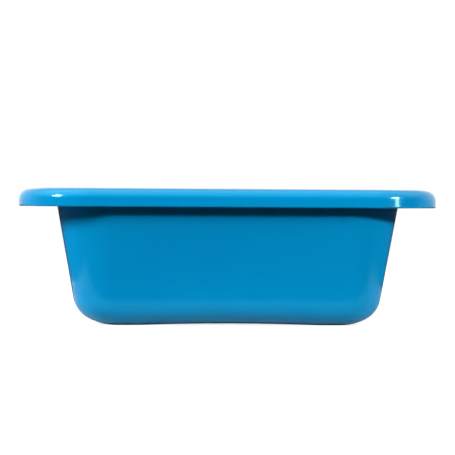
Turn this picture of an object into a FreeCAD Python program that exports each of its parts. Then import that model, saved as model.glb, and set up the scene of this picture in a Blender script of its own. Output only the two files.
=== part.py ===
import FreeCAD, Part

import math
import os

from FreeCAD import Vector

# Mud pan: a one-piece injection-moulded plastic trough for joint compound.
# Units are millimetres. X runs along the pan, Y across it and Z up. The origin is
# the centre of the footprint, level with the two lands that the pan rests on.

# Overall size, over the rim
LENGTH = 356.0
WIDTH = 140.0
HEIGHT = 115.8

# The moulding has one thickness everywhere
WALL = 2.5

# Rim: a level flange, wide at the ends and narrow along the sides, that rolls over
# into a vertical skirt. Its ends droop a little, along an arc that starts DROOP_RUN
# from the end.
RIM_DEPTH = 15.3
RIM_CORNER_R = 58.0
ROLL_R = 8.4
DROOP_R = 140.0
DROOP_RUN = 26.0
LIP_R = 1.0
MOUTH_R = 2.5

# Walls, measured on the outside. The overhangs run from the wall, level with the
# bottom of the rim, out to the rim's edge.
END_OVERHANG = 32.9
SIDE_OVERHANG = 11.5
END_DRAFT = math.radians(10.25)
SIDE_DRAFT = math.radians(12.0)
CORNER_R_AT_RIM = 45.0
CORNER_R_AT_BASE = 25.0

# Base: a low arch between two lands, and ends that sweep up into the end walls
ARCH_RISE = 1.4
ARCH_FOOT_X = 83.0
ARCH_BLEND = 14.0
LAND_END_X = 95.0
SWEEP_R = 55.0
SWEEP_ANGLE = math.radians(32.0)
BASE_FILLET_R = 22.0

# Gate mark, left under the arch where the plastic entered the mould
GATE_R = 4.0
GATE_HEIGHT = 0.5

RIM_BOTTOM_Z = HEIGHT - RIM_DEPTH

# Blocks that are cut away or trimmed run this far past the part
SPARE = 10.0
# An edge is level with a height if it stays this close to it
LEVEL = 0.001

UP = Vector(0, 0, 1)


def line(start, end):
    return Part.LineSegment(start, end).toShape()


def arc(centre, radius, first, last):
    """Arc in the XZ plane. Angles run from +X towards +Z, in radians."""
    stops = [
        centre + Vector(radius * math.cos(angle), 0, radius * math.sin(angle))
        for angle in (first, (first + last) / 2, last)
    ]
    return Part.Arc(*stops).toShape()


def corner_centres(half_x, half_y, radius):
    """Centres of a rounded rectangle's corners, anticlockwise from +X -Y."""
    cx = half_x - radius
    cy = half_y - radius
    return [Vector(cx, -cy, 0), Vector(cx, cy, 0), Vector(-cx, cy, 0), Vector(-cx, -cy, 0)]


def rounded_rectangle(half_x, half_y, radius, z):
    edges = []
    for index, centre in enumerate(corner_centres(half_x, half_y, radius)):
        first = (index - 1) * 90
        edges.append(Part.makeCircle(radius, centre + UP * z, UP, first, first + 90))
    ends = [(edge.firstVertex().Point, edge.lastVertex().Point) for edge in edges]
    for index, (start, _) in enumerate(ends):
        edges.append(line(ends[index - 1][1], start))
    return Part.Wire(Part.__sortEdges__(edges))


def wall_outline(z, inset):
    """Outline of the tapered walls at height z, moved inwards by inset."""
    rise = z - RIM_BOTTOM_Z
    flare = (CORNER_R_AT_RIM - CORNER_R_AT_BASE) / RIM_BOTTOM_Z
    return rounded_rectangle(
        LENGTH / 2 - END_OVERHANG + rise * math.tan(END_DRAFT) - inset / math.cos(END_DRAFT),
        WIDTH / 2 - SIDE_OVERHANG + rise * math.tan(SIDE_DRAFT) - inset / math.cos(SIDE_DRAFT),
        CORNER_R_AT_RIM + rise * flare - inset,
        z,
    )


def space_under_base(inset):
    """Everything below the base surface, which is raised by inset.

    From the middle to each end the surface is a crown, a blend that eases it down
    onto a flat land, and the sweep up towards the end wall.
    """
    slope = 2 * math.atan(ARCH_RISE / ARCH_FOOT_X)
    blend_r = ARCH_BLEND / math.sin(slope)
    crown_r = ARCH_FOOT_X / math.sin(slope) - blend_r
    down = -math.pi / 2

    crown_centre = Vector(0, 0, ARCH_RISE - crown_r)
    crown = arc(
        crown_centre, crown_r + inset, math.pi / 2 + slope, math.pi / 2 - slope
    )
    blend = arc(
        Vector(ARCH_FOOT_X, 0, blend_r), blend_r - inset, down - slope, down
    )
    sweep = arc(
        Vector(LAND_END_X, 0, SWEEP_R), SWEEP_R - inset, down, down + SWEEP_ANGLE
    )
    sweep_end = sweep.lastVertex().Point
    run = LENGTH / 2 - sweep_end.x
    far = sweep_end + Vector(run, 0, run * math.tan(SWEEP_ANGLE))
    below = Vector(LENGTH / 2, 0, -2 * SPARE)

    half = [
        blend,
        line(blend.lastVertex().Point, sweep.firstVertex().Point),
        sweep,
        line(sweep_end, far),
        line(far, below),
    ]
    mirrored = [edge.mirror(Vector(), Vector(1, 0, 0)) for edge in half]
    floor = line(below, Vector(-below.x, 0, below.z))
    outline = Part.Wire(Part.__sortEdges__([crown, floor] + half + mirrored))
    block = Part.Face(outline).extrude(Vector(0, WIDTH, 0))
    block.translate(Vector(0, -WIDTH / 2, 0))
    return block


def wall_edges(solid, low, high, tall):
    """Edges between two heights where a tall face, a wall, meets one that isn't."""
    found = []
    for edge in solid.Edges:
        if edge.BoundBox.ZMin < low or edge.BoundBox.ZMax > high:
            continue
        faces = solid.ancestorsOfType(edge, Part.Face)
        are_walls = [face.BoundBox.ZLength > tall for face in faces]
        if any(are_walls) and not all(are_walls):
            found.append(edge)
    return found


def trough_block(inset, top_z):
    """The trough as a solid block up to top_z, its surface moved in by inset."""
    outlines = [wall_outline(-SPARE, inset), wall_outline(top_z, inset)]
    block = Part.makeLoft(outlines, True, True).cut(space_under_base(inset))
    foot = wall_edges(block, -SPARE, RIM_BOTTOM_Z / 2, RIM_BOTTOM_Z / 2)
    return block.makeFillet(BASE_FILLET_R - inset, foot)


def spaces_over_droop(inset):
    """The space over each end of the flange, where it droops, lowered by inset."""
    upright = math.pi / 2
    turn = math.asin((DROOP_RUN + SPARE) / DROOP_R)
    centre = Vector(LENGTH / 2 - DROOP_RUN, 0, HEIGHT - DROOP_R)
    droop = arc(centre, DROOP_R - inset, upright, upright - turn)
    start = droop.firstVertex().Point
    end = droop.lastVertex().Point
    above_end = Vector(end.x, 0, start.z)
    outline = Part.Wire([droop, line(end, above_end), line(above_end, start)])
    space = Part.Face(outline).extrude(Vector(0, WIDTH, 0))
    space.translate(Vector(0, -WIDTH / 2, 0))
    return [space, space.mirror(Vector(), Vector(1, 0, 0))]


def rim_block(inset, bottom_z):
    """The rim as a solid block down to bottom_z, its surface moved in by inset."""
    outline = rounded_rectangle(
        LENGTH / 2 - inset, WIDTH / 2 - inset, RIM_CORNER_R - inset, bottom_z
    )
    block = Part.Face(outline).extrude(UP * (HEIGHT - inset - bottom_z))
    block = block.cut(spaces_over_droop(inset))
    brow = wall_edges(block, HEIGHT - RIM_DEPTH / 2, HEIGHT, RIM_DEPTH / 2)
    return block.makeFillet(ROLL_R - inset, brow)


def rim_shell():
    """The flange and its skirt, before the mouth is cut through the flange."""
    shell = rim_block(0.0, RIM_BOTTOM_Z).cut(rim_block(WALL, RIM_BOTTOM_Z - SPARE))
    lip = [edge for edge in shell.Edges if edge.BoundBox.ZMax < RIM_BOTTOM_Z + LEVEL]
    return shell.makeFillet(LIP_R, lip)


def gate_mark():
    foot = Vector(0, 0, ARCH_RISE - GATE_HEIGHT)
    return Part.makeCylinder(GATE_R, GATE_HEIGHT + WALL / 2, foot, UP)


def build_pan():
    pan = trough_block(0.0, HEIGHT - WALL / 2).fuse([rim_shell(), gate_mark()])
    pan = pan.cut(trough_block(WALL, HEIGHT + SPARE))
    mouth = wall_edges(pan, HEIGHT - LEVEL, HEIGHT + LEVEL, RIM_BOTTOM_Z / 2)
    return pan.makeFillet(MOUTH_R, mouth).Solids[0]


pan_body = build_pan()
os.makedirs("parts", exist_ok=True)
pan_body.exportStep("parts/pan_body.step")
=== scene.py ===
import math

import bpy
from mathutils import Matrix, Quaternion, Vector


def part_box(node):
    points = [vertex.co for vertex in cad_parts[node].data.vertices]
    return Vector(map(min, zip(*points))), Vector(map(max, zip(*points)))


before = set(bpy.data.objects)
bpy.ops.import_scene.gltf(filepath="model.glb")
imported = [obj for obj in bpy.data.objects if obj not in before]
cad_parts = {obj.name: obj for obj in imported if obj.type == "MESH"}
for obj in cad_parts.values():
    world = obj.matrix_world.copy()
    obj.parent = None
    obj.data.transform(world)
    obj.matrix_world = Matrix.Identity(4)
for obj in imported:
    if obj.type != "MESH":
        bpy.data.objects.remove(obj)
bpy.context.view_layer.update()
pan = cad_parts["pan_body"]

# Sizes are in metres and angles in degrees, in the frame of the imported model: X
# runs along the pan, Y across it and Z up, and the pan stands on Z = 0. An azimuth
# of 0 is straight in front of the pan, and azimuths grow towards +X.

PAN_LOW, PAN_HIGH = (Vector(corner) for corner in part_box("pan_body"))
PAN_MIDDLE = (PAN_LOW + PAN_HIGH) / 2
MM = 0.001

# Camera: a long lens just above the rim's height, a little to the left of the
# pan's front
CAMERA_DISTANCE = 2.2
CAMERA_AZIMUTH = -5.2
CAMERA_HEIGHT = 0.1187
CAMERA_AIM = Vector((0.0004, 0.0, 0.0827))
CAMERA_ROLL = 0.38
CAMERA_SENSOR = 36.0  # mm
CAMERA_LENS = 203.0  # mm

# Lamps stand this far from the middle of the pan. Each row is a name, azimuth,
# elevation, width, height, power in watts, and whether it lights surfaces and is
# mirrored in them.
LAMP_DISTANCE = 2.0
LAMPS = [
    ("key_left", -59.0, 25.0, 0.42, 0.46, 36.0, True, True),
    ("key_right", 44.0, 24.0, 0.32, 0.22, 36.0, True, True),
    ("glint_left", -59.0, 25.0, 0.46, 0.50, 110.0, False, True),
    ("glint_right", 44.0, 21.0, 0.20, 0.34, 50.0, False, True),
    ("strip_right", 44.0, 6.0, 0.16, 0.60, 16.0, False, True),
    ("fill_left", -84.0, 26.0, 0.70, 0.50, 18.0, True, False),
    ("fill_right", 66.0, 26.0, 0.80, 0.50, 3.0, True, False),
    ("top", 0.0, 88.0, 1.60, 1.60, 1.5, True, False),
    ("back_left", -150.0, 32.0, 0.80, 0.60, 10.0, True, False),
    ("back_right", 135.0, 26.0, 0.60, 0.60, 10.0, True, False),
]
# Lamps that are only mirrored are warm, because MIRROR_TINT takes red away
GLINT_COLOUR = (1.0, 0.60, 0.60)

# Brightness of the room: FILL lights the pan. In mirrors there is also a white
# backdrop behind the pan and a ceiling that is brighter to the left.
FILL = 0.012
BACKDROP = 1.0
CEILING_LEFT = 3.4
CEILING_RIGHT = 1.8
# Where they fade in or out, as the X, Y or Z of the unit vector towards them
BACKDROP_FADE_Y = (-0.5, 0.5)
CEILING_FADE_X = (-0.25, 0.30)
CEILING_FADE_Y = (0.0, 0.6)
CEILING_FADE_Z = (0.3, 0.9)

# The floor as the camera sees it: grey paper that glows, more so further away
FLOOR_HALF = 6.0
FLOOR_PAPER = (0.30, 0.30, 0.30, 1.0)
FLOOR_GLOW_NEAR = 0.80
FLOOR_GLOW_FAR = 1.0
FLOOR_NEAR = 0.35
FLOOR_FAR = 1.6

# The floor as the pan meets it: a white table top of this size in a dark room
TABLE_HALF_LENGTH = 0.27
TABLE_FRONT_Y = -0.085
TABLE_BACK_Y = 0.30
TABLE_EDGE = 0.004
TABLE_WHITE = 0.42
TABLE_MIRRORED = 0.62
ROOM_DARK = 0.04

# Plastic: two blues that are nearly alike, a tint that turns what it mirrors
# towards cyan, how rough it is, and the relief of its waves and scuffs
PLASTIC_BLUE = (0.0, 0.254, 0.545, 1.0)
PLASTIC_DEEP = (0.0, 0.241, 0.525, 1.0)
MIRROR_TINT = (0.26, 0.95, 0.72, 1.0)
PLASTIC_IOR = 1.49
POLISHED = 0.10
DULL = 0.16
SCUFF_DULLS = 0.22
RELIEF = 1.0 * MM
RELIEF_STRENGTH = 0.25
WAVE_HEIGHT = 0.05
SCUFF_DEPTH = 0.02

# Noises, in lumps per metre, and the values of each that count as low and high.
# Scuffs have a scale for each of X, Y and Z, so they come out as lines.
CLOUD_SCALE = 9.0
CLOUD_CUT = (0.35, 0.65)
DULL_SCALE = 40.0
DULL_CUT = (0.35, 0.75)
WAVE_SCALE = 120.0
SCUFF_SCALES = ((14.0, 900.0, 420.0), (520.0, 16.0, 700.0))
SCUFF_CUT = (0.70, 0.78)
PATCH_SCALE = 22.0
PATCH_CUT = (0.50, 0.68)


def link(obj):
    bpy.context.scene.collection.objects.link(obj)
    return obj


def around(azimuth, elevation, distance, centre):
    """Point seen from centre at that azimuth and elevation."""
    a = math.radians(azimuth)
    e = math.radians(elevation)
    level = math.cos(e)
    direction = Vector((math.sin(a) * level, -math.cos(a) * level, math.sin(e)))
    return centre + distance * direction


def aim(obj, target):
    obj.rotation_mode = "QUATERNION"
    obj.rotation_quaternion = (target - obj.location).to_track_quat("-Z", "Y")


def make_camera():
    data = bpy.data.cameras.new("camera")
    data.sensor_width = CAMERA_SENSOR
    data.lens = CAMERA_LENS
    camera = link(bpy.data.objects.new("camera", data))
    foot = Vector((0.0, 0.0, CAMERA_HEIGHT))
    camera.location = around(CAMERA_AZIMUTH, 0.0, CAMERA_DISTANCE, foot)
    aim(camera, CAMERA_AIM)
    roll = Quaternion((0.0, 0.0, 1.0), math.radians(CAMERA_ROLL))
    camera.rotation_quaternion = camera.rotation_quaternion @ roll
    bpy.context.scene.camera = camera


def make_lamp(name, azimuth, elevation, width, height, power, lights, mirrored):
    data = bpy.data.lights.new(name, "AREA")
    data.shape = "RECTANGLE"
    data.size = width
    data.size_y = height
    data.energy = power
    if not lights:
        data.color = GLINT_COLOUR
    lamp = link(bpy.data.objects.new(name, data))
    lamp.location = around(azimuth, elevation, LAMP_DISTANCE, PAN_MIDDLE)
    lamp.visible_camera = False
    lamp.visible_diffuse = lights
    lamp.visible_glossy = mirrored
    aim(lamp, PAN_MIDDLE)


class Nodes:
    """A node tree, with short calls to add and join its nodes."""

    def __init__(self, tree):
        self.tree = tree
        tree.nodes.clear()

    def add(self, kind, **values):
        node = self.tree.nodes.new(kind)
        for name, value in values.items():
            setattr(node, name, value)
        return node

    def join(self, source, target):
        self.tree.links.new(source, target)

    def feed(self, socket, value):
        if isinstance(value, bpy.types.NodeSocket):
            self.join(value, socket)
        else:
            socket.default_value = value

    def math(self, operation, *values):
        node = self.add("ShaderNodeMath", operation=operation)
        for socket, value in zip(node.inputs, values):
            self.feed(socket, value)
        return node.outputs[0]

    def noise(self, vector, scale, detail=2.0, roughness=0.5, distortion=0.0):
        node = self.add("ShaderNodeTexNoise")
        self.feed(node.inputs["Vector"], vector)
        node.inputs["Scale"].default_value = scale
        node.inputs["Detail"].default_value = detail
        node.inputs["Roughness"].default_value = roughness
        node.inputs["Distortion"].default_value = distortion
        return node.outputs["Fac"]

    def ramp(self, value, low, high, to_low=0.0, to_high=1.0):
        """Smooth step of value from low..high to to_low..to_high."""
        node = self.add("ShaderNodeMapRange", interpolation_type="SMOOTHSTEP")
        for socket, given in zip(node.inputs, (value, low, high, to_low, to_high)):
            self.feed(socket, given)
        return node.outputs["Result"]

    def mix(self, factor, first, second):
        node = self.add("ShaderNodeMix", data_type="RGBA")
        self.feed(node.inputs["Factor"], factor)
        self.feed(node.inputs["A"], first)
        self.feed(node.inputs["B"], second)
        return node.outputs["Result"]

    def stretched(self, vector, scale):
        node = self.add("ShaderNodeMapping")
        self.feed(node.inputs["Vector"], vector)
        node.inputs["Scale"].default_value = scale
        return node.outputs["Vector"]


def background(nodes, strength):
    node = nodes.add("ShaderNodeBackground")
    node.inputs["Color"].default_value = (1.0, 1.0, 1.0, 1.0)
    nodes.feed(node.inputs["Strength"], strength)
    return node.outputs["Background"]


def mix_shaders(nodes, factor, first, second):
    node = nodes.add("ShaderNodeMixShader")
    nodes.feed(node.inputs["Fac"], factor)
    nodes.join(first, node.inputs[1])
    nodes.join(second, node.inputs[2])
    return node.outputs["Shader"]


def make_world():
    """White where the camera looks, a dim light, and a bright room in mirrors."""
    world = bpy.data.worlds.new("studio")
    world.use_nodes = True
    nodes = Nodes(world.node_tree)
    path = nodes.add("ShaderNodeLightPath").outputs
    coords = nodes.add("ShaderNodeTexCoord").outputs["Generated"]
    split = nodes.add("ShaderNodeSeparateXYZ")
    nodes.join(coords, split.inputs["Vector"])
    x, y, z = (split.outputs[axis] for axis in "XYZ")
    backdrop = nodes.ramp(y, *BACKDROP_FADE_Y, FILL, BACKDROP)
    ceiling = nodes.ramp(x, *CEILING_FADE_X, CEILING_LEFT, CEILING_RIGHT)
    overhead = nodes.math(
        "MULTIPLY",
        nodes.ramp(z, *CEILING_FADE_Z),
        nodes.ramp(y, *CEILING_FADE_Y, 1.0, 0.0),
    )
    room = nodes.math("ADD", backdrop, nodes.math("MULTIPLY", ceiling, overhead))
    fill = background(nodes, FILL)
    lit = mix_shaders(nodes, path["Is Glossy Ray"], fill, background(nodes, room))
    seen = mix_shaders(nodes, path["Is Camera Ray"], lit, background(nodes, 1.0))
    out = nodes.add("ShaderNodeOutputWorld")
    nodes.join(seen, out.inputs["Surface"])
    bpy.context.scene.world = world


def table_top(nodes, coords):
    """How white the floor is to light: white on the table top, dark past its edges."""
    split = nodes.add("ShaderNodeSeparateXYZ")
    nodes.join(coords, split.inputs["Vector"])
    middle_y = (TABLE_FRONT_Y + TABLE_BACK_Y) / 2
    half_width = (TABLE_BACK_Y - TABLE_FRONT_Y) / 2
    along = nodes.math("ABSOLUTE", split.outputs["X"])
    across = nodes.math("ABSOLUTE", nodes.math("SUBTRACT", split.outputs["Y"], middle_y))
    past = nodes.math(
        "MAXIMUM",
        nodes.math("SUBTRACT", along, TABLE_HALF_LENGTH),
        nodes.math("SUBTRACT", across, half_width),
    )
    path = nodes.add("ShaderNodeLightPath").outputs
    white = nodes.ramp(path["Is Glossy Ray"], 0.0, 1.0, TABLE_WHITE, TABLE_MIRRORED)
    return nodes.ramp(past, -TABLE_EDGE, TABLE_EDGE, white, ROOM_DARK)


def make_floor():
    """Glowing paper to the camera, and a table top to light and in mirrors."""
    signs = [(-1, -1), (1, -1), (1, 1), (-1, 1)]
    corners = [(x * FLOOR_HALF, y * FLOOR_HALF, 0.0) for x, y in signs]
    mesh = bpy.data.meshes.new("floor")
    mesh.from_pydata(corners, [], [(0, 1, 2, 3)])
    floor = link(bpy.data.objects.new("floor", mesh))

    material = bpy.data.materials.new("floor_paper")
    material.use_nodes = True
    nodes = Nodes(material.node_tree)
    coords = nodes.add("ShaderNodeTexCoord").outputs["Object"]
    length = nodes.add("ShaderNodeVectorMath", operation="LENGTH")
    nodes.join(coords, length.inputs[0])
    away = length.outputs["Value"]
    strength = nodes.ramp(away, FLOOR_NEAR, FLOOR_FAR, FLOOR_GLOW_NEAR, FLOOR_GLOW_FAR)
    glow = nodes.add("ShaderNodeEmission")
    nodes.join(strength, glow.inputs["Strength"])
    paper = nodes.add("ShaderNodeBsdfDiffuse")
    paper.inputs["Color"].default_value = FLOOR_PAPER
    bright = nodes.add("ShaderNodeAddShader")
    nodes.join(glow.outputs["Emission"], bright.inputs[0])
    nodes.join(paper.outputs["BSDF"], bright.inputs[1])
    table = nodes.add("ShaderNodeBsdfDiffuse")
    nodes.join(table_top(nodes, coords), table.inputs["Color"])
    to_camera = nodes.add("ShaderNodeLightPath").outputs["Is Camera Ray"]
    seen = mix_shaders(nodes, to_camera, table.outputs["BSDF"], bright.outputs["Shader"])
    out = nodes.add("ShaderNodeOutputMaterial")
    nodes.join(seen, out.inputs["Surface"])
    mesh.materials.append(material)


def make_plastic():
    """Glossy blue polypropylene, straight from a polished mould."""
    material = bpy.data.materials.new("blue_polypropylene")
    material.use_nodes = True
    nodes = Nodes(material.node_tree)
    coords = nodes.add("ShaderNodeTexCoord").outputs["Object"]

    # Colour: faint clouds from the pigment's flow
    clouds = nodes.ramp(nodes.noise(coords, CLOUD_SCALE, detail=3.0), *CLOUD_CUT)
    colour = nodes.mix(clouds, PLASTIC_DEEP, PLASTIC_BLUE)

    # Hair-thin scuffs, along the pan and across it
    scuffs = []
    for scale in SCUFF_SCALES:
        drawn_out = nodes.stretched(coords, scale)
        lines = nodes.noise(drawn_out, 1.0, roughness=0.6, distortion=0.2)
        scuffs.append(nodes.ramp(lines, *SCUFF_CUT))
    patches = nodes.ramp(nodes.noise(coords, PATCH_SCALE, detail=3.0), *PATCH_CUT)
    scuffed = nodes.math("MULTIPLY", nodes.math("MAXIMUM", *scuffs), patches)

    # Roughness: polished, a little duller in patches and on scuffs
    dull = nodes.noise(coords, DULL_SCALE, detail=4.0, roughness=0.6)
    base = nodes.ramp(dull, *DULL_CUT, POLISHED, DULL)
    roughness = nodes.math("ADD", base, nodes.math("MULTIPLY", scuffed, SCUFF_DULLS))

    # Relief: the slight waviness of moulded plastic, and the scuffs
    waves = nodes.math("MULTIPLY", nodes.noise(coords, WAVE_SCALE), WAVE_HEIGHT)
    cuts = nodes.math("MULTIPLY", scuffed, SCUFF_DEPTH)
    relief = nodes.math("SUBTRACT", waves, cuts)
    bump = nodes.add("ShaderNodeBump")
    bump.inputs["Strength"].default_value = RELIEF_STRENGTH
    bump.inputs["Distance"].default_value = RELIEF
    nodes.join(relief, bump.inputs["Height"])

    shader = nodes.add("ShaderNodeBsdfPrincipled")
    shader.inputs["IOR"].default_value = PLASTIC_IOR
    shader.inputs["Specular Tint"].default_value = MIRROR_TINT
    nodes.join(colour, shader.inputs["Base Color"])
    nodes.join(roughness, shader.inputs["Roughness"])
    nodes.join(bump.outputs["Normal"], shader.inputs["Normal"])
    out = nodes.add("ShaderNodeOutputMaterial")
    nodes.join(shader.outputs["BSDF"], out.inputs["Surface"])
    return material


bpy.context.scene.view_settings.view_transform = "Standard"
make_camera()
make_world()
make_floor()
for lamp in LAMPS:
    make_lamp(*lamp)
pan.data.materials.clear()
pan.data.materials.append(make_plastic())
